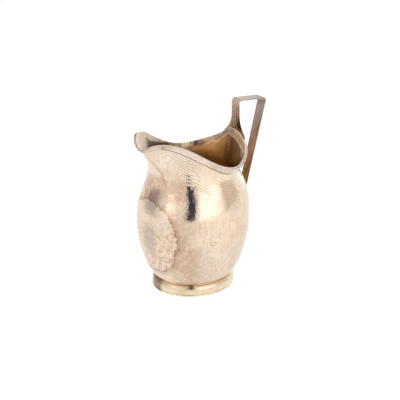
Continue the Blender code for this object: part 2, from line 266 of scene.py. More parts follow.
def product(tree, *terms):
    result = terms[0]
    for term in terms[1:]:
        result = maths(tree, "MULTIPLY", result, term)
    return result


def shifted(tree, value, source, reach, middle=0.5):
    # a value moved by the difference of another, most often a noise, from its middle, times a reach
    return maths(tree, "MULTIPLY_ADD", maths(tree, "SUBTRACT", source, middle), reach, value)


def fade(tree, source, start, full):
    # 0 at start and 1 at full, on an S curve
    return addNode(tree, "MapRange", {"From Min": start, "From Max": full}, {"Value": source},
                   interpolation_type="SMOOTHSTEP").outputs[0]


def window(tree, source, start, full, lastFull, gone):
    # 1 from full to lastFull, and S curves down to 0 at start and at gone
    return product(tree, fade(tree, source, start, full), fade(tree, source, gone, lastFull))


def shareOf(tree, fields, *limits):
    # a product of limits: a number, a field's name, or a name with the two places of a fade or a window's four
    terms = []
    for limit in limits:
        if isinstance(limit, tuple):
            name, *places = limit
            terms.append((fade if len(places) == 2 else window)(tree, fields[name], *places))
        else:
            terms.append(fields[limit] if isinstance(limit, str) else limit)
    return product(tree, *terms)


def ramped(tree, source, colours):
    # colours by place along a ramp, as pairs of place and sRGB code
    ramp = addNode(tree, "ValToRGB", {}, {"Fac": source})
    stops = ramp.color_ramp.elements
    while len(stops) < len(colours):
        stops.new(0.5)
    for stop, (where, code) in zip(stops, colours):
        stop.position = where
        stop.color = linearColour(code)
    return ramp.outputs["Color"]


def tinted(tree, colour, share, code, blend="MIX"):
    # lays a colour over another by a share; each is a value, an sRGB code or another node's output
    values, links = {}, {}
    for key, term in ((0, share), (6, colour), (7, code)):
        term = linearColour(term) if isinstance(term, str) else term
        (values if isinstance(term, (float, tuple)) else links)[key] = term
    return addNode(tree, "Mix", values, links, data_type="RGBA", blend_type=blend).outputs[2]


def layered(tree, colour, fields, rows):
    # lays colours over one another; each row is a colour and the limits whose product is its share
    for code, *limits in rows:
        colour = tinted(tree, colour, shareOf(tree, fields, *limits), code)
    return colour


def grained(tree, place, scale, detail=4.0, rough=0.6, distortion=0.0, stretch=None):
    if stretch:
        place = addNode(tree, "Mapping", {"Scale": stretch}, {"Vector": place}).outputs[0]
    values = {"Scale": scale, "Detail": detail, "Roughness": rough, "Distortion": distortion}
    return addNode(tree, "TexNoise", values, {"Vector": place}).outputs["Fac"]


def grooved(tree, order, power):
    # a line at each whole number: the cosine of pi times the order, without its sign, to a power
    wave = maths(tree, "COSINE", maths(tree, "MULTIPLY", order, pi))
    return maths(tree, "POWER", maths(tree, "ABSOLUTE", wave), power)


def ovalReach(tree, fields, axes, centre, halves, ragged, noise):
    # distance from an oval's middle as a share of the way to its edge: the length of (first / its half, second
    # / its half), made ragged by a noise
    squares = []
    for axis, middle, half in zip(axes, centre, halves):
        term = maths(tree, "DIVIDE", maths(tree, "SUBTRACT", fields[axis], middle), half)
        squares.append(maths(tree, "MULTIPLY", term, term))
    return shifted(tree, maths(tree, "SQRT", maths(tree, "ADD", *squares)), fields[noise], ragged)


def placeFields(tree, place):
    return dict(zip("xyz", addNode(tree, "SeparateXYZ", {}, {"Vector": place}).outputs))


def surfaceFields(tree, first, second):
    # the two shares of a piece's own UV map
    surface = addNode(tree, "UVMap", uv_map="surface").outputs[0]
    return dict(zip((first, second), addNode(tree, "SeparateXYZ", {}, {"Vector": surface}).outputs))


# what all the silver shares: where its colours lie in the clouds' noise, the specks' fade, noises as detail and
# roughness, and the wear, which takes a noise from its limits to shares of the roughness
wear = {"stops": (0.32, 0.46, 0.60, 0.75), "speckFade": (0.60, 0.66), "speckNoise": (2.0, 0.6),
        "dentNoise": (3.0, 0.55), "scale": 2.3, "limits": (0.3, 0.7), "shares": (0.7, 1.4)}


def wornSilver(name, finish):
    # sterling silver worked by hand, polished and left to tarnish: the eye gets a warm, soft mirror with cloudy
    # cream and brown patches, fine specks and a slight unevenness in every reflection
    material = bpy.data.materials.new(name)
    material.use_nodes = True
    tree = material.node_tree
    shader = tree.nodes["Principled BSDF"]
    shader.inputs["Metallic"].default_value = 1.0
    place = addNode(tree, "TexCoord").outputs["Object"]
    fields = {"clouds": grained(tree, place, finish["cloudScale"]),
              "specks": grained(tree, place, finish["speckScale"], *wear["speckNoise"])}
    colour = ramped(tree, fields["clouds"], list(zip(wear["stops"], finish["colours"])))
    specks = (finish["speckColour"], finish["specks"], ("specks", *wear["speckFade"]))
    colour = layered(tree, colour, fields, [specks])
    dents = grained(tree, place, finish["dentScale"], *wear["dentNoise"])
    bump = addNode(tree, "Bump", {"Strength": 1.0, "Distance": finish["dentDepth"]}, {"Height": dents})
    tree.links.new(bump.outputs["Normal"], shader.inputs["Normal"])
    worn = grained(tree, place, finish["cloudScale"] * wear["scale"])
    lowest, highest = (finish["roughness"] * share for share in wear["shares"])
    rough = addNode(tree, "MapRange", {"From Min": wear["limits"][0], "From Max": wear["limits"][1],
                                       "To Min": lowest, "To Max": highest}, {"Value": worn}).outputs[0]
    tree.links.new(rough, shader.inputs["Roughness"])
    return {"material": material, "tree": tree, "shader": shader, "place": place, "colour": colour,
            "fields": fields, "rough": rough}


def finished(made, colour):
    made["tree"].links.new(colour, made["shader"].inputs["Base Color"])
    return made["material"]


# In the tables below x, y and z are in metres; around is a share of a turn from the lip, off the same either way,
# and away the same from the handle; below and depth are tenths of a metre below the strip and the inner rim.
bodyFinish = {
    "roughness": 0.13, "cloudScale": 55.0, "speckScale": 900.0, "specks": 0.35, "speckColour": "a98368",
    "dentScale": 150.0, "dentDepth": 0.24 * mm,
    "colours": ("edd5bb", "f4e1c9", "f9ead6", "fcf1e0"),
    # scale, detail, roughness, distortion and stretch; the brushing runs upwards and is about three times
    # coarser than real polishing marks, so that it shows
    "noises": {
        "brush": (1.0, 3.0, 0.6, 0.0, (900, 900, 70)), "broad": (28.0, 6.0, 0.65), "grain": (420.0, 3.0, 0.7),
        "wander": (140.0, 5.0, 0.7), "curled": (190.0, 3.0, 0.5, 1.2), "drift": (120.0, 4.0, 0.6),
        "blotches": (105.0, 6.0, 0.7, 1.1, (1, 1, 0.6)),
    },
    # each oval: its two axes, middle, halves, raggedness and the noise that makes it ragged
    "ovals": {
        "patchReach": ("yz", (2 * mm, 42 * mm), (23 * mm, 25 * mm), 0.42, "wander"),
        "greyReach": ("yz", (-1 * mm, 41 * mm), (6 * mm, 12 * mm), 1.4, "wander"),
        "scarReach": ("xz", (axisX - 11 * mm, 41 * mm), (1.7 * mm, 1.4 * mm), 2.4, "wander"),
    },
    # fields moved by others: the field, the other, the reach and the other's middle; these are the depth of the
    # inside's stains and its painted light, the streak under the lip, and the trough behind the lip
    "shifts": {
        "stained": ("depth", "drift", 0.07, 0.5), "deepDrift": ("depth", "drift", 0.05, 0.5),
        "leaning": ("y", "z", -0.35, 88 * mm), "streak": ("leaning", "wander", 7 * mm, 0.5),
        "trough": ("depth", "around", -0.45, 0.76),
    },
    # masks, as products of limits
    "masks": {
        "front": (("x", axisX - 9 * mm, axisX - 12 * mm),),
        "outer": ("front", ("below", -0.15, -0.10)),
        "patch": ("outer", ("patchReach", 1.012, 0.988)),
        "inner": (("below", -0.34, -0.39),),
        "deep": (("deepDrift", 0.035, 0.060),),
        "peak": (("around", 0.405, 0.425, 0.585, 0.615),),
        "lip": (("off", 0.135, 0.085), ("depth", 0.22, 0.14)),
    },
    # a browner, pinkish bloom, partly tarnish and partly painted shade: tarnish in broad clouds, tarnish and painted
    # shade of a darker reflection low under the lip, and painted shade of a darker reflection in the throat; its
    # grain is a limit, the change it makes and the start
    "bloomsAndShade": ((0.75, ("around", 0.055, 0.085, 0.125, 0.185), ("below", 0.38, 0.50, 1.00, 1.12)),
               (0.60, ("broad", 0.43, 0.53), ("below", 0.12, 0.24)),
               (0.80, ("away", 0.36, 0.41), ("z", 66 * mm, 71 * mm, 81 * mm, 86 * mm))),
    "bloomAndShadeGrain": (("grain", 0.38, 0.50), 0.5, 0.5),
    # tarnish in the threads: the lines' power, which of them hold it, where each begins, and how broken they are
    "threadPower": 14, "threadLimits": (("order", -0.7, -0.4, body["threads"] - 3.0, body["threads"]),
                                        ("begun", 0.04, 0.07)),
    "threadBreaks": (("grain", 0.25, 0.45), 0.6, 0.25),
    # how much weaker they grow round the jug
    "threadWeaker": {"From Min": 0.14, "From Max": 0.20, "To Min": 1.0, "To Max": 0.15},
    "outside": (
        ("dfc2a8", 0.40, ("brush", 0.48, 0.60)),
        # the bloom's colour: tarnish, with painted shade low under the lip and in the throat
        ("c6a084", 0.58, "bloom"),
        ("a07a5a", "grooves"),
        # a painted shadow line under the strip, where the strip stands proud of the body
        ("7d5638", 0.90, ("below", -0.0040, -0.0020, 0.0095, 0.0125), ("clouds", 0.24, 0.44)),
        # a paler, ragged patch at the lip's side: its halo, ground, curled lines, brown granules and grey middle, and
        # the thin dark line round it
        ("c49f84", 0.55, "outer", ("patchReach", 0.99, 1.00, 1.03, 1.19)),
        ("f9e4cd", 0.75, "patch"),
        ("a98a70", 0.50, "patch", ("curls", 0.016, 0.004)),
        ("c69f84", 0.55, "patch", ("grain", 0.50, 0.56), ("z", 58 * mm, 44 * mm)),
        ("bdafa5", 0.62, "patch", ("greyReach", 1.4, 0.6)),
        ("9a7a5c", 0.70, "outer", ("patchReach", 0.970, 0.985, 1.005, 1.025), ("grain", 0.32, 0.42)),
        # a brown streak down the throat under the lip, and a small curled scar on the belly
        ("b98c66", 0.40, "front", ("streak", -7.2 * mm, -5.8 * mm, -4.6 * mm, -3.6 * mm),
         ("z", 76 * mm, 80 * mm, 95 * mm, 99 * mm), ("below", -0.03, -0.02)),
        ("9b7658", 0.50, ("scarReach", 0.55, 0.75, 1.05, 1.25), ("y", 10 * mm, 0.0)),
    ),
    # the inside, never polished: golden brown, in clouds; paler at the rim, painted light where the inner face turns
    # up to the light, and brighter deeper in, painted light that makes up for the shade down there
    "inside": ((0.000, "f2e2ca"), (0.024, "e6ceae"), (0.036, "98704a"), (0.065, "946a42"), (0.085, "8c6036"),
               (0.20, "e0a24e"), (1.000, "f4c474")),
    "lining": (
        ("65421f", 0.70, ("blotches", 0.42, 0.54)),
        ("cf9a58", 0.35, ("blotches", 0.51, 0.42)),
        # below the rim the handle's end is more golden on the far side, partly the inside's colour and partly a
        # painted glow of light bounced inside, and browner on the near one
        ("e0a65c", 0.60, "deep", ("around", 0.51, 0.53, 0.63, 0.68)),
        ("5e3c1c", 0.55, "deep", ("around", 0.31, 0.37, 0.49, 0.515)),
        # a tan, mottled border inside the peak, painted light where the inner face turns up to the light, with a
        # painted highlight along its lower edge at the crease, and cream nearer the lip
        ("cfa680", "peak", "mottled", ("stained", 0.058, 0.050)),
        ("edd2b0", 0.50, "peak", ("stained", 0.036, 0.044, 0.053, 0.061), ("grain", 0.25, 0.40)),
        ("ead6bc", 0.80, ("off", 0.24, 0.19), ("stained", 0.060, 0.045)),
        # painted shade in the trough behind the lip, where the far wall's inside lies in shadow above the near rim; a
        # few dark spots on the rim's far side, and the pale lip
        ("46301f", 0.85, ("around", 0.730, 0.745, 0.865, 0.890), ("trough", 0.014, 0.020)),
        ("46301f", 0.85, ("around", 0.6215, 0.6255, 0.6365, 0.6405), ("stained", 0.040, 0.032)),
        ("46301f", 0.85, ("around", 0.6445, 0.6465, 0.6495, 0.6515), ("stained", -0.008, 0.0, 0.020, 0.028)),
        ("e4ceb6", "lip"),
    ),
    "mottled": (("blotches", 0.40, 0.48), -0.5, 0.85),
    # the dull inside: less of a metal, and of a metal least at the lip, and rougher; the patch is rougher too
    "metalLost": 0.7, "lipMetalLost": 0.2, "innerRougher": 0.22, "patchRougher": 0.12,
}
footFinish = {
    "roughness": 0.2, "cloudScale": 110.0, "speckScale": 1000.0, "specks": 0.4, "speckColour": "8d6a45",
    "dentScale": 200.0, "dentDepth": 0.14 * mm,
    "colours": ("ebd1ab", "f7e4c3", "fbecd0", "fdf1dc"),
    "noise": (170.0, 4.0, 0.65),
    # browner towards the top, a broken solder seam there, and a stained end on the lip's side
    "stains": (
        ("d9bb9e", 0.3, ("z", 3.4 * mm, 4.6 * mm)),
        ("a87f58", 0.2, ("z", 5.5 * mm, 6.6 * mm), ("clouds", 0.15, 0.40)),
        ("7d6047", 0.8, ("y", -3 * mm, 2 * mm), ("x", axisX - 12 * mm, axisX - 17 * mm), ("grain", 0.28, 0.42)),
    ),
}
bandFinish = {
    "roughness": 0.17, "cloudScale": 90.0, "speckScale": 900.0, "specks": 0.1, "speckColour": "a58a70",
    "dentScale": 220.0, "dentDepth": 0.03 * mm,
    "colours": ("e8dacb", "f3e7db", "f8eee4", "fbf4ed"),
    "groovePower": 8, "grooves": (("a3866c", 0.75, "grooves"),),
}
strapFinish = {
    "roughness": 0.19, "cloudScale": 110.0, "speckScale": 700.0, "specks": 0.35, "speckColour": "6b4c38",
    "dentScale": 240.0, "dentDepth": 0.08 * mm,
    "colours": ("d8d0ca", "ece6e1", "f6f2ef", "ffffff"),
    # by tenths of a metre along it: browned base, riser, grey bar, and the strut browner towards its foot
    "along": ((0.00, "c8ac90"), (0.05, "b4967a"), (0.085, "a58466"), (0.11, "b08f74"), (0.15, "ebd0bc"),
              (0.24, "f2dccc"), (0.32, "d2cac5"), (0.48, "beb5af"), (0.55, "e0cbbd"), (0.75, "cdaa90"),
              (0.95, "b48d6e"), (1.00, "a5824e")),
    "wander": 0.06, "groovePower": 6, "grooves": (("5a4030", 0.55, "grooves"),),
    # limits across the section: their softness, the share before the plain face, and the rest in rows: the
    # reeds' last one, the place after the plain face, and the face's clear middle
    "soft": 0.01, "edgeBefore": 0.05, "reedsLast": 0.4, "edgeAfter": 1.05, "faceClear": (0.06, 0.16, 0.84, 0.94),
}
bottomFinish = {
    "roughness": 0.32, "cloudScale": 70.0, "speckScale": 500.0, "specks": 0.5, "speckColour": "5a3f26",
    "dentScale": 120.0, "dentDepth": 0.12 * mm,
    "colours": ("8a6a48", "a5825a", "b8966c", "c6a780"),
}


def varied(tree, fields, limit, change, start):
    # a limit's share times a change, from a start
    return maths(tree, "MULTIPLY_ADD", shareOf(tree, fields, limit), change, start)


def makeBodySilver():
    # silver with tarnish, also carrying painted light and shade inside, under the lip and under the strip
    finish, made = bodyFinish, wornSilver("raised_silver_tarnish_and_painted_light", bodyFinish)
    tree, place = made["tree"], made["place"]
    fields = made["fields"] | placeFields(tree, place) | surfaceFields(tree, "around", "below")
    fields |= {name: grained(tree, place, *values) for name, values in finish["noises"].items()}
    fields |= {name: ovalReach(tree, fields, *values) for name, values in finish["ovals"].items()}
    fields["away"] = maths(tree, "ABSOLUTE", maths(tree, "SUBTRACT", fields["around"], 0.5))
    fields["off"] = maths(tree, "SUBTRACT", 0.5, fields["away"])
    fields["depth"] = maths(tree, "SUBTRACT", body["innerMark"] * tenths, fields["below"])
    fields["curls"] = maths(tree, "ABSOLUTE", maths(tree, "SUBTRACT", fields["curled"], 0.5))
    for name, (value, source, reach, middle) in finish["shifts"].items():
        fields[name] = shifted(tree, fields[value], fields[source], reach, middle)
    for name, limits in finish["masks"].items():
        fields[name] = shareOf(tree, fields, *limits)
    # the throat's bloom is painted shade, the low one partly tarnish and partly painted shade, the broad one tarnish
    low, broad, throat = (shareOf(tree, fields, *limits) for limits in finish["bloomsAndShade"])
    bloomsAndShade = maths(tree, "ADD", maths(tree, "ADD", low, broad), throat)
    fields["bloom"] = product(tree, bloomsAndShade, varied(tree, fields, *finish["bloomAndShadeGrain"]))
    fields["mottled"] = varied(tree, fields, *finish["mottled"])
    # tarnish in the threads' grooves, at the mesh's own pitch down from the strip
    start, pitch = body["threadStart"] * tenths, body["threadPitch"] * tenths
    fields["order"] = maths(tree, "DIVIDE", maths(tree, "SUBTRACT", fields["below"], start), pitch)
    fields["begun"] = maths(tree, "MULTIPLY_ADD", fields["order"], -body["threadLater"] / 360, fields["off"])
    lines = grooved(tree, fields["order"], finish["threadPower"])
    strong = addNode(tree, "MapRange", finish["threadWeaker"], {"Value": fields["off"]}).outputs[0]
    broken = varied(tree, fields, *finish["threadBreaks"])
    fields["grooves"] = product(tree, lines, strong, broken, shareOf(tree, fields, *finish["threadLimits"]))
    outside = layered(tree, made["colour"], fields, finish["outside"])
    # the inside's colours carry painted light: paler at the rim and brighter deeper in
    lining = layered(tree, ramped(tree, fields["stained"], finish["inside"]), fields, finish["lining"])
    metal = maths(tree, "MULTIPLY_ADD", fields["inner"], -finish["metalLost"], 1.0)
    metal = maths(tree, "MULTIPLY_ADD", shareOf(tree, fields, "inner", "lip"), -finish["lipMetalLost"], metal)
    tree.links.new(metal, made["shader"].inputs["Metallic"])
    rough = maths(tree, "MULTIPLY_ADD", fields["inner"], finish["innerRougher"], made["rough"])
    rough = maths(tree, "MULTIPLY_ADD", fields["patch"], finish["patchRougher"], rough)
    tree.links.new(rough, made["shader"].inputs["Roughness"])
    return finished(made, tinted(tree, outside, fields["inner"], lining))


def makeFootSilver():
    made = wornSilver("foot_silver_yellowed", footFinish)
    tree, place = made["tree"], made["place"]
    fields = made["fields"] | placeFields(tree, place) | {"grain": grained(tree, place, *footFinish["noise"])}
    return finished(made, layered(tree, made["colour"], fields, footFinish["stains"]))


def makeBandSilver():
    made = wornSilver("reeded_silver_wire", bandFinish)
    tree, fields = made["tree"], made["fields"] | surfaceFields(made["tree"], "across", "along")
    # the reeds' grooves hold brown tarnish, at the mesh's own pitch across the strip
    rows = band["reeds"] * band["reedSteps"] * 2 + 1
    order = maths(tree, "MULTIPLY", fields["across"], rows / band["reedSteps"])
    fields["grooves"] = grooved(tree, order, bandFinish["groovePower"])
    return finished(made, layered(tree, made["colour"], fields, bandFinish["grooves"]))


def makeStrapSilver():
    made = wornSilver("strap_silver_browned", strapFinish)
    tree, fields = made["tree"], made["fields"] | surfaceFields(made["tree"], "across", "along")
    wavy = shifted(tree, fields["along"], fields["clouds"], strapFinish["wander"])
    colour = tinted(tree, made["colour"], 1.0, ramped(tree, wavy, strapFinish["along"]), "MULTIPLY")
    # the reeds' grooves keep dark tarnish
    steps = strap["reeds"] * strap["reedSteps"]
    rows = steps + 3 + 2 * strap["edgeSteps"]
    fields["lines"] = grooved(tree, maths(tree, "MULTIPLY", fields["across"], rows / strap["reedSteps"]),
                              strapFinish["groovePower"])
    soft, reeded = strapFinish["soft"], (steps + strapFinish["reedsLast"]) / rows
    reeds = shareOf(tree, fields, "lines", ("across", reeded + soft, reeded))
    # so do the plain face's two edges: the face and a little round it, less its middle
    first = (steps + 1 + strap["edgeSteps"]) / rows
    before, after = first - strapFinish["edgeBefore"], first + strapFinish["edgeAfter"] / rows
    face = shareOf(tree, fields, ("across", before - soft, before, after, after + soft))
    middle = shareOf(tree, fields, ("across", *(first + place / rows for place in strapFinish["faceClear"])))
    fields["grooves"] = maths(tree, "MAXIMUM", reeds, maths(tree, "SUBTRACT", face, middle))
    return finished(made, layered(tree, colour, fields, strapFinish["grooves"]))


bodySilver = makeBodySilver()
footSilver = makeFootSilver()
bandSilver = makeBandSilver()
strapSilver = makeStrapSilver()
bottomMade = wornSilver("planished_silver_dulled", bottomFinish)
bottomSilver = finished(bottomMade, bottomMade["colour"])
print("materials made")


def makeBody():
    # closed shell: the outer surface down from the rim, the foot's seat, the inner surface, and a rounded edge
    turns = np.linspace(0, 2 * pi, body["columns"], endpoint=False)
    angles = turns - body["pull"] * np.sin(turns)   # columns lie closer together at the lip
    columns = bodyColumns(angles, body["samples"])
    tip, total = readDown(columns, np.zeros((1, len(angles))))
    off = degreesOff(angles)
    top = np.linspace(body["edgeRise"], body["threadZone"], body["threadRows"])
    low = np.linspace(0, 1, body["lowerRows"] + 1)[1:]
    distances = np.concatenate([np.repeat(top[:, None], len(angles), 1),
                                body["threadZone"] + low[:, None] * (total - body["threadZone"])])
    flat = readDown(columns, distances)[0]
    outer = aroundAxis(flat[..., 0], flat[..., 1], angles)
    normals = surfaceNormals(outer, True)
    # engraved threads: rounded ridges between grooves at an even pitch below the strip, a power of a
    # cosine of the distance down, fading out towards the lip and below
    below = distances - bandHeight(off)
    order = (below - body["threadStart"]) / body["threadPitch"]
    groove = np.abs(np.cos(pi * order)) ** body["threadPower"]
    thin = smooth(off, *body["threadThin"])
    deepened = 1 - (1 - body["threadShallow"]) * (1 - smooth(off, *body["threadDeepen"]))
    cut = smooth(off - body["threadLater"] * order, *body["threadBegin"]) * deepened
    last = body["threads"] - body["threadFewer"] * thin
    cut = cut * (1 - body["threadFaint"] * thin) * smooth(order, -body["threadSoft"], 0)
    cut = cut * (1 - smooth(order, last - 1, last))
    # level ripples on the lip's near side, as a squared cosine of height in a rounded window
    turned, risen = np.degrees(angles) - body["rippleTurn"][0], outer[..., 2] - body["rippleHeight"][0]
    worn = np.clip(1 - (turned / body["rippleTurn"][1]) ** 2 - (risen / body["rippleHeight"][1]) ** 2, 0, 1)
    ripple = np.cos(pi * (risen / body["ripplePitch"] + body["rippleLean"] * turned)) ** 2
    inward = body["threadDepth"] * groove * cut * (1 - worn)
    inward = inward + body["rippleDepth"] * ripple * smooth(worn, 0, body["rippleSoft"])
    # planishing: a shallow, long wave left by the hammer, as a product of sines of angle and height
    wave = np.prod([np.sin(count * angles + rise * outer[..., 2] + start) for count, rise, start in body["waves"]],
                   axis=0)
    inward = inward + body["planish"] * (0.5 + 0.5 * wave) * smooth(below, 0, body["planishStart"])
    outer = outer - normals * inward[..., None]
    # inner surface: the outer one moved in by the wall's thickness, with fewer rows
    share = np.linspace(0, 1, body["innerRows"])
    depths = body["edgeRise"] + (total - body["edgeRise"]) * share[:, None] ** body["innerSpread"]
    flat = readDown(columns, depths)[0]
    lining = aroundAxis(flat[..., 0], flat[..., 1], angles)
    inner = lining - surfaceNormals(lining, True) * body["wall"]
    inner[-1, :, 2] = body["seat"]
    # rounded edge: half an ellipse from the inner surface over the rim to the outer one
    rise = aroundAxis(tip[0, :, 0], tip[0, :, 1], angles) - lining[0]
    middle, half = (outer[0] + inner[0]) / 2, (outer[0] - inner[0]) / 2
    sweep = np.linspace(pi, 0, body["edgeSteps"] + 2)[1:-1, None, None]
    edge = middle + half * np.cos(sweep) + rise * np.sin(sweep)
    grid = np.concatenate([outer, inner[::-1], edge])
    # place on the surface: the share of a turn, and the distance below the strip
    down = np.concatenate([below, body["innerMark"] - depths[::-1],
                           np.full((body["edgeSteps"], len(angles)), body["edgeMark"]), below[:1]])
    down = np.concatenate([down, down[:, :1]], axis=1) * tenths
    around = np.broadcast_to(np.append(angles, 2 * pi) / (2 * pi), down.shape)
    mesh = gridMesh("jugBody", grid, np.stack([around, down], axis=-1), True)
    addPiece(mesh, bodySilver, "body_silver", "body_shell")


def evenPattern(rows, along):
    # place on the surface: the share across its section, and the given places along or round it
    return np.stack(np.meshgrid(np.linspace(0, 1, rows + 1), along, indexing="ij"), axis=-1)


def reedProfile(reeds, steps):
    # relief across a reeded face: half circles side by side, 0 in the grooves and 1 on the crests
    places = np.linspace(0, 1, reeds * steps + 1)
    return places, np.sqrt(np.maximum(0, 1 - (2 * (places * reeds % 1) - 1) ** 2))


def makeBand():
    # strip carried along the rim: half-round reeds on the outside, its back sunk a hair into the body
    reach = body["rim"][-1][1] * body["halfLength"]
    end = pi - np.arcsin((strap["baseWidth"] / 2 + strap["clearance"]) / reach)
    turns = np.linspace(-1, 1, band["columns"])
    angles = end * ((1 - band["endPull"]) * turns + band["endPull"] * turns ** 3)
    columns = bodyColumns(angles, body["samples"])
    places, relief = reedProfile(band["reeds"], band["reedSteps"])
    heights = bandHeight(np.degrees(np.abs(angles)))
    flat = readDown(columns, places[:, None] * heights)[0]
    face = aroundAxis(flat[..., 0], flat[..., 1], angles)
    normals = surfaceNormals(face, False)
    lift = strap["clearance"] + band["sheet"] + band["relief"] * relief
    outer = face + normals * lift[:, None, None]
    back = (face - normals * band["sunk"])[::-band["reedSteps"]]
    grid = np.concatenate([outer, back])
    mesh = gridMesh("rimBand", grid, evenPattern(len(grid), tenths * lengthsAlong(face[0])), False)
    addPiece(mesh, bandSilver, "band_silver", "rim_band")


def baseBend(across):
    # the strap's base falls back from flat by the square of the distance over twice its curve
    return across ** 2 / (2 * strap["baseCurve"])


def backProfile():
    # the body's outermost line across the strap's bent base, from the seat up to the rim, in X and Z
    reach = body["rim"][-1][1] * body["halfLength"]
    spread = np.arcsin(strap["baseWidth"] / 2 / reach) + radians(strap["backMargin"])
    angles = np.linspace(pi - spread, pi, strap["backColumns"])
    flat = bodyColumns(angles, strap["backSamples"])
    heights = flat[:, -1, 1]
    reaches = [np.interp(heights, flat[:, k, 1], -flat[:, k, 0] * np.cos(angle)
                         + baseBend(flat[:, k, 0] * np.sin(angle)), right=0) for k, angle in enumerate(angles)]
    return np.stack([axisX + np.max(reaches, axis=0), heights], axis=-1)


def unit(vector):
    return vector / np.hypot(*vector)


def onBack(line, outward, lengthDown=None, height=None):
    # a point of that line, by length down from the peak or by height, moved outward along its normal
    index = np.arange(len(line))
    if height is None:
        place = len(line) - 1 - np.interp(lengthDown, lengthsAlong(line[::-1]), index)
    else:
        place = np.interp(height, line[:, 1], index)
    point = np.array([np.interp(place, index, line[:, k]) for k in (0, 1)])
    lower = np.array([np.interp(place - 1, index, line[:, k]) for k in (0, 1)])
    along = unit(point - lower)
    return point + outward * np.array([along[1], -along[0]])


def filleted(points, radii):
    # straight runs whose corners are arcs: each arc's centre lies on the corner's bisector
    path = [points[0]]
    for before, corner, after, radius in zip(points, points[1:], points[2:], radii):
        toBefore, toAfter = unit(before - corner), unit(after - corner)
        turn = pi - np.arccos(np.clip(toBefore @ toAfter, -1, 1))
        centre = corner + unit(toBefore + toAfter) * radius / np.cos(turn / 2)
        first, last = (corner + side * radius * np.tan(turn / 2) - centre for side in (toBefore, toAfter))
        start = np.arctan2(first[1], first[0])
        sweep = (np.arctan2(last[1], last[0]) - start + pi) % (2 * pi) - pi
        for angle in start + sweep * np.linspace(0, 1, strap["cornerSteps"] + 1):
            path.append(centre + radius * np.array([np.cos(angle), np.sin(angle)]))
    path.append(points[-1])
    return np.array(path)


def makeHandle():
    # strap carried along its path: plain inside the loop, half-round reeds outside, softened edges
    line = backProfile()
    off = strap["clearance"] + strap["sheet"] / 2
    lengths = np.linspace(strap["lap"], 0, strap["lapSteps"] + 1)
    *lap, peak = [onBack(line, off + strap["relief"], lengthDown=length) for length in lengths]
    top = peak + np.array([0, strap["riseUp"]])
    back = top + np.array([strap["reach"], -strap["fall"]])
    landing = onBack(line, off, height=body["seat"] + strap["landing"])
    end = onBack(line, off, height=body["seat"] + strap["landing"] - strap["seated"])
    path = filleted([lap[-1], peak, top, back, landing, end],
                    (strap["corner"], strap["corner"], strap["corner"], strap["landingCorner"]))
    path = np.concatenate([lap[:-1], path])
    gone = lengthsAlong(path)
    even = np.linspace(0, gone[-1], int(gone[-1] / strap["pathStep"]))
    path = np.stack([np.interp(even, gone, path[:, k]) for k in (0, 1)], axis=-1)
    along = np.gradient(path, axis=0)
    along /= np.linalg.norm(along, axis=1, keepdims=True)
    outside = np.stack([-along[:, 1], along[:, 0]], axis=1)
    strutStart = strap["lap"] + strap["riseUp"] + strap["reach"]
    narrowed = (even - strap["lap"] + strap["flareDrop"]) / strap["flare"]
    flared = np.clip(1 - narrowed, 0, 1) ** strap["flarePower"]
    widths = strap["topWidth"] + (strap["baseWidth"] - strap["topWidth"]) * flared
    widths += (strap["footWidth"] - strap["topWidth"]) * np.clip((even - strutStart) / (even[-1] - strutStart), 0, 1)
    reeded = smooth(even, strap["lap"] + strap["reedFade"][0], strap["lap"] + strap["reedFade"][1])
    places, relief = reedProfile(strap["reeds"], strap["reedSteps"])
    half = strap["sheet"] / 2
    turn = np.linspace(0, pi / 2, strap["edgeSteps"] + 1)
    edgeAcross, edgeLift = 0.5 - strap["edgeInset"] * (1 - np.sin(turn[::-1])), -half * np.cos(turn[::-1])
    across = np.concatenate([places - 0.5, [0.5], edgeAcross[1:], -edgeAcross[1:][::-1], [-0.5]])
    lift = np.concatenate([np.full(len(places), half), [0], edgeLift[1:], edgeLift[1:][::-1], [0]])[:, None]
    crest = np.concatenate([relief, np.zeros(len(lift) - len(relief))])[:, None]
    # on the fan a low crown, the root of a sine, takes the reeds' place
    crown = strap["crown"] * np.sqrt(np.sin(pi * (across[:len(places)] + 0.5)))
    crown = np.concatenate([crown, np.zeros(len(lift) - len(places))])[:, None]
    lift = lift + strap["relief"] * (crest * reeded + crown * (1 - reeded))
    middle = path + outside * lift[..., None]
    across = across[:, None] * widths
    grid = np.stack([middle[..., 0] - baseBend(across) * flared, across, middle[..., 1]], axis=-1)
    mesh = gridMesh("handleStrap", grid, evenPattern(len(grid), tenths * even), False)
    addPiece(mesh, strapSilver, "handle_silver", "handle_strap")


foot = {
    "height": 7.25 * mm, "bulge": 1.6 * mm, "bulgeHeight": 2.6 * mm, "sheet": 0.9 * mm, "ledge": 2.4 * mm,
    # the ledge's flat top ends this far in, and the tuck at the foot's base is this deep and high
    "flatEnd": 0.25 * mm, "tuck": 0.2 * mm, "tuckHeight": 0.5 * mm,
    "stripHeight": 1.1 * mm, "stripWidth": 1.6 * mm, "wireSteps": 14, "columns": 240, "steps": 18,
    "seam": 0.12 * mm,
}
plate = {"sheet": 0.9 * mm, "gap": 0.25 * mm, "rings": 30, "middle": 1e-4, "firstRing": 0.04}


def seatRadius(outward, angles):
    # distance from the axis to the oval of the body's seat, moved outward
    halfLength, halfWidth = body["halfLength"] * body["rows"][0][1], body["halfWidth"] * body["rows"][0][2]
    return ovalRadius(halfLength + outward, halfWidth + outward, angles)


def roundMesh(name, radii, heights, angles):
    pattern = evenPattern(len(heights), np.linspace(0, 1, len(angles) + 1))
    return gridMesh(name, aroundAxis(radii, heights, angles), pattern, True)


def ovalRing(name, section):
    # a section of distances out from the body's seat, and heights, carried round the seat's oval
    angles = np.linspace(0, 2 * pi, foot["columns"], endpoint=False)
    outward, heights = np.array(section)[:, :1], np.array(section)[:, 1:]
    return roundMesh(name, seatRadius(outward, angles), heights, angles)


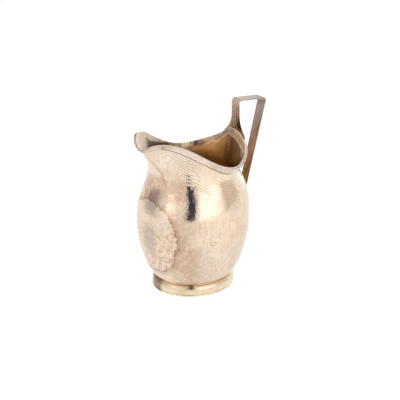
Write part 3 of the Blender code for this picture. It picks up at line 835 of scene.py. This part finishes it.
def makeFoot():
    # collet: turned-in ledge, then a quarter ellipse out to the bulge and a short tuck down to the strip
    low = foot["stripHeight"] + foot["seam"]
    rise = foot["height"] - foot["bulgeHeight"]
    angles = np.linspace(pi / 2, 0, foot["steps"])
    outer = [(-foot["ledge"], foot["height"]), (-foot["flatEnd"], foot["height"])]
    inner = [(-foot["ledge"], foot["height"] - foot["sheet"])]
    for angle in angles[1:]:
        bulge = foot["bulge"] * np.cos(angle)
        outer.append((bulge, foot["bulgeHeight"] + rise * np.sin(angle)))
        inner.append((bulge - foot["sheet"], foot["bulgeHeight"] + (rise - foot["sheet"]) * np.sin(angle)))
    outer += [(foot["bulge"], low + foot["tuckHeight"]), (foot["bulge"] - foot["tuck"], low)]
    inner.append((foot["bulge"] - foot["sheet"], low))
    mesh = ovalRing("footCollet", outer + inner[::-1])
    addPiece(mesh, footSilver, "foot_silver", "foot_collet")


def makeFootStrip():
    # wire under the collet's edge: flat below and half-round outside
    half = foot["stripHeight"] / 2
    section = [(foot["bulge"] - foot["stripWidth"], height) for height in (0, foot["stripHeight"])]
    for angle in np.linspace(pi / 2, -pi / 2, foot["wireSteps"]):
        section.append((foot["bulge"] - half + half * np.cos(angle), half + half * np.sin(angle)))
    addPiece(ovalRing("footStrip", section), footSilver, "foot_silver", "foot_strip")


def makeBottom():
    # let-in plate: rings from near its middle out to the edge, above and below
    angles = np.linspace(0, 2 * pi, foot["columns"], endpoint=False)
    shares = np.concatenate([[plate["middle"]], np.linspace(plate["firstRing"], 1, plate["rings"])])
    heights = np.repeat([body["seat"] + plate["sheet"], body["seat"]], len(shares))[:, None]
    shares = np.concatenate([shares, shares[::-1]])[:, None]
    radii = shares * seatRadius(-body["wall"] - plate["gap"], angles)
    addPiece(roundMesh("bottomPlate", radii, heights, angles), bottomSilver, "bottom_silver", "bottom_plate")


makeBody()
makeBand()
makeHandle()
makeFoot()
makeFootStrip()
makeBottom()

studio = {
    # each panel: degrees round from straight ahead of the jug's side, and degrees up, as where it begins, is
    # full, is last full and is gone; its strength and colour
    "roomColour": "ffffff", "panels": (
        ((-20, -18, 10, 40), (-11, 0, 17, 24), 1.80, "fbfbff"),
        ((-101, -92, -74, -65), (2, 8, 20, 28), 1.28, "ffffff"),
        ((-56, -50, -34, -29), (-3, 2, 12, 17), 0.75, "ffffff"),
        ((-47, -44, -28, -26), (-3, -1, 60, 70), 0.06, "b4c4ff"),
        ((24, 38, 66, 78), (-10, 2, 16, 26), 0.72, "fff6ee"),
        ((-164, -152, -128, -94), (-11, 1, 11, 23), 0.50, "f8f4ff"),
        ((94, 104, 130, 138), (-13, -8, 20, 28), 1.40, "ffffff"),
        ((146, 150, 166, 170), (-13, -10, 50, 60), 0.30, "f4f4ff"),
        ((-180, -178, -168, -158), (-8, 0, 30, 38), 0.55, "f4f4ff"),
    ),
    # the floor's radius in metres, its colour, the share of its light that doesn't depend on the room, and the
    # strength of that share for the camera and in the silver
    "floorRadius": 0.42, "floorSides": 96, "floorColour": "ffffff", "glowShare": 0.75, "glowSeen": 1.12,
    "glowReflected": 1.0,
    # pools of light on it, a near one and a far one: how wide, and each one's strength and how far out
    "poolWidth": ("x", -0.11, -0.03, 0.12, 0.32), "pools": ((0.12, ("y", -0.05, -0.11)), (0.40, ("y", -0.18, -0.34))),
}
camera = {"azimuth": -40.0, "elevation": 23.0, "distance": 1.4, "height": 56 * mm, "lens": 191.5,
          "shiftX": 0.017, "shiftY": 0.0071}


def makeFloor():
    # matt white paper, small enough for the panels' lower ends to show in the silver; part of its brightness
    # doesn't depend on the light, so that only a soft shadow shows
    turns = np.linspace(0, 2 * pi, studio["floorSides"], endpoint=False)
    ring = np.stack([np.cos(turns), np.sin(turns), 0 * turns], axis=-1) * studio["floorRadius"]
    mesh = bpy.data.meshes.new("floor")
    mesh.from_pydata(ring.tolist(), [], [list(range(studio["floorSides"]))])
    floor = addObject("floor", mesh)
    material = bpy.data.materials.new("matt_white_paper")
    material.use_nodes = True
    tree = material.node_tree
    tree.nodes.clear()
    paper = addNode(tree, "BsdfDiffuse", {"Color": linearColour(studio["floorColour"])})
    path = addNode(tree, "LightPath").outputs
    strength = addNode(tree, "Mix", {2: studio["glowSeen"], 3: studio["glowReflected"]},
                       {0: path["Is Glossy Ray"]}, data_type="FLOAT").outputs[0]
    # the pools, in front of the jug, are what its silver shows under the brightest panel
    fields = placeFields(tree, addNode(tree, "TexCoord").outputs["Object"])
    near, far = (shareOf(tree, fields, *pool) for pool in studio["pools"])
    pools = product(tree, shareOf(tree, fields, studio["poolWidth"]), maths(tree, "ADD", far, near),
                    path["Is Glossy Ray"])
    glow = addNode(tree, "Emission", {}, {"Strength": maths(tree, "ADD", strength, pools)})
    seen = maths(tree, "MAXIMUM", path["Is Camera Ray"], path["Is Glossy Ray"])
    share = product(tree, seen, studio["glowShare"])
    both = addNode(tree, "MixShader", {}, {0: share, 1: paper.outputs[0], 2: glow.outputs[0]})
    addNode(tree, "OutputMaterial", {}, {"Surface": both.outputs[0]})
    mesh.materials.append(material)


def makeStudio():
    # a white room with a few brighter and darker panels in it, given by direction; the camera sees plain white
    world = bpy.data.worlds.new("studio")
    bpy.context.scene.world = world
    world.use_nodes = True
    tree = world.node_tree
    tree.nodes.clear()
    parts = placeFields(tree, addNode(tree, "TexCoord").outputs["Generated"])
    turn = product(tree, maths(tree, "ARCTAN2", parts["x"], product(tree, parts["y"], -1.0)), 180 / pi)
    climb = product(tree, maths(tree, "ARCSINE", parts["z"]), 180 / pi)
    colour = studio["roomColour"]
    for turns, climbs, strength, code in studio["panels"]:
        inside = product(tree, window(tree, turn, *turns), window(tree, climb, *climbs))
        panel = tuple(part * strength for part in linearColour(code)[:3]) + (1.0,)
        colour = tinted(tree, colour, inside, panel)
    seen = addNode(tree, "LightPath").outputs["Is Camera Ray"]
    shown = tinted(tree, colour, seen, studio["roomColour"])
    light = addNode(tree, "Background", {"Strength": 1.0}, {"Color": shown})
    addNode(tree, "OutputWorld", {}, {"Surface": light.outputs[0]})


def makeCamera():
    turn, climb = radians(camera["azimuth"]), radians(camera["elevation"])
    forward = Vector((-np.sin(turn) * np.cos(climb), np.cos(turn) * np.cos(climb), -np.sin(climb)))
    target = Vector((axisX, 0, camera["height"]))
    data = bpy.data.cameras.new("camera")
    data.lens = camera["lens"]
    data.shift_x, data.shift_y = camera["shiftX"], camera["shiftY"]
    eye = addObject("camera", data)
    eye.location = target - forward * camera["distance"]
    eye.rotation_euler = forward.to_track_quat("-Z", "Y").to_euler()
    bpy.context.scene.camera = eye


makeFloor()
makeStudio()
makeCamera()
bpy.context.scene.view_settings.view_transform = "Standard"
print("floor, light and camera set")
